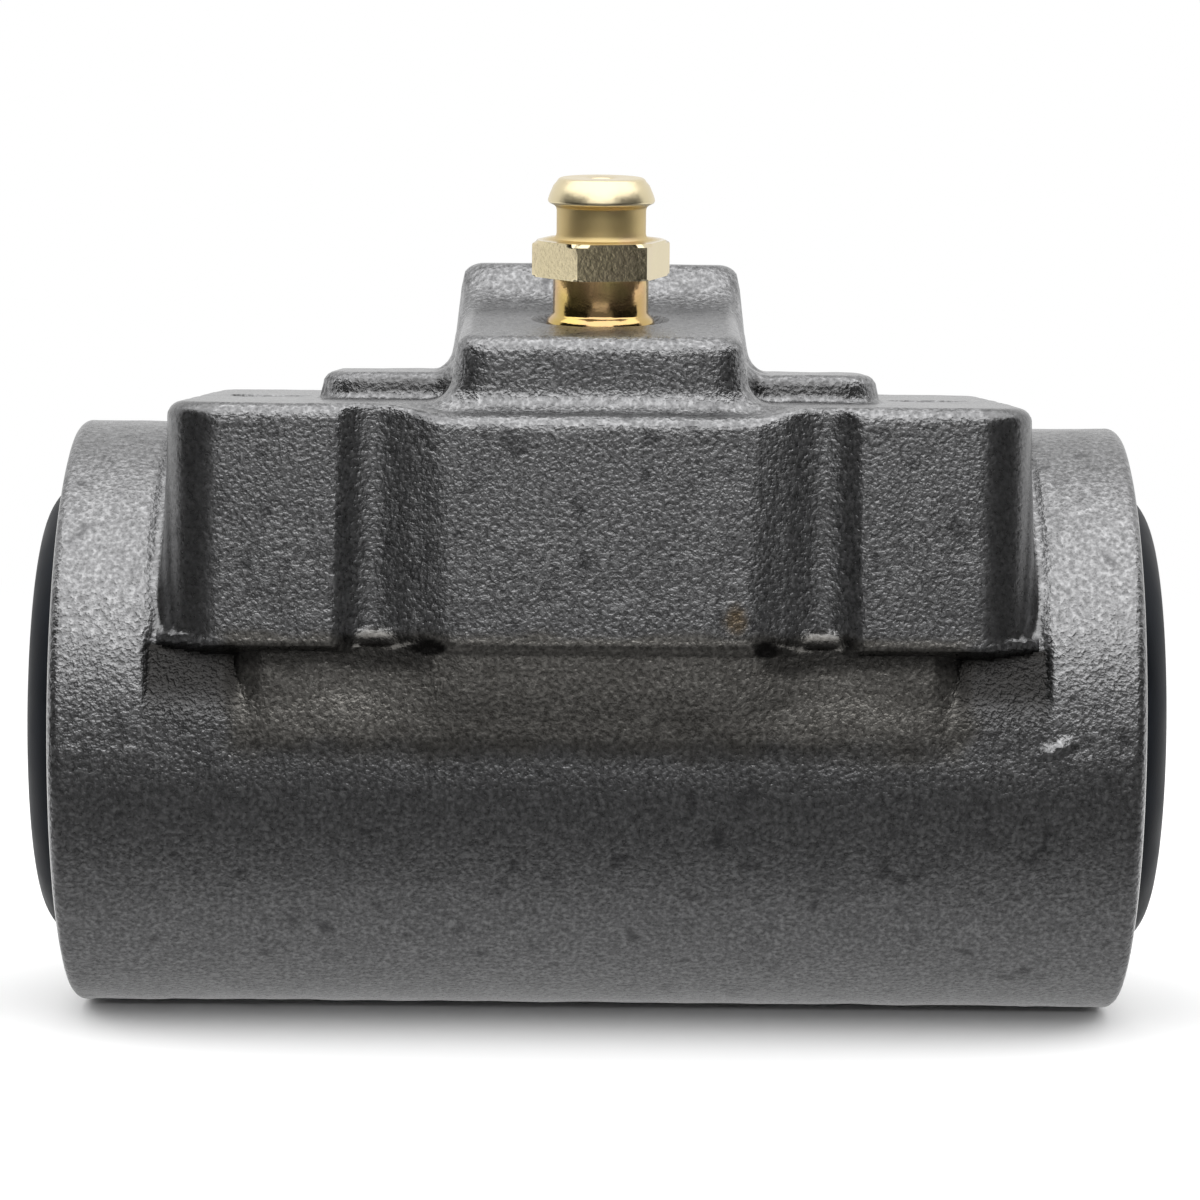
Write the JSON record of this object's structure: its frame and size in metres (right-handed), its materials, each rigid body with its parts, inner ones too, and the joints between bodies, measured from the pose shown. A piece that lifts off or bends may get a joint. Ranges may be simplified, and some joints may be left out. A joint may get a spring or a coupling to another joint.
{
  "type": "wheel cylinder",
  "caption": "Drum brake wheel cylinder: cast iron barrel with a bolted mounting pad, opposed pistons behind rubber dust boots, and a hex bleeder screw on a central boss.",
  "frame": {"origin": "on the mounting face, midway between the bolt holes, above the middle of the bore", "axes": "+X along the bore, +Z out of the mounting face towards the backing plate, the bleeder screw on the -Y side"},
  "size_m": [0.1034, 0.0562, 0.077],
  "materials": {
    "casting": "rough sand cast",
    "plated_steel": "yellow chromate plated",
    "boot_rubber": "satin moulded",
    "piston_alloy": "turned",
    "cup_rubber": "moulded",
    "sheet_steel": "pressed",
    "spring_steel": "drawn wire"
  },
  "bodies": {
    "housing": {"cylinder_body": "casting", "boot_left": "boot_rubber", "boot_right": "boot_rubber", "return_spring": "spring_steel"},
    "left_piston": {"piston_left": "piston_alloy", "cup_left": "cup_rubber", "cup_expander_left": "sheet_steel"},
    "right_piston": {"piston_right": "piston_alloy", "cup_right": "cup_rubber", "cup_expander_right": "sheet_steel"},
    "bleeder": {"bleeder_screw": "plated_steel"}
  },
  "joints": [
    {"name": "left_piston_slide", "type": "slide", "parent": "housing", "child": "left_piston", "axis": [-1, 0, 0], "range_m": [-0.003, 0.005], "deforming": ["return_spring"]},
    {"name": "right_piston_slide", "type": "slide", "parent": "housing", "child": "right_piston", "axis": [1, 0, 0], "range_m": [-0.003, 0.005], "deforming": ["return_spring"]},
    {"name": "bleeder_turn", "type": "hinge", "parent": "housing", "child": "bleeder", "pos_m": [0, -0.009, 0.0074], "axis": [0, -0.1045, 0.9945], "range_deg": [0, 360]}
  ]
}
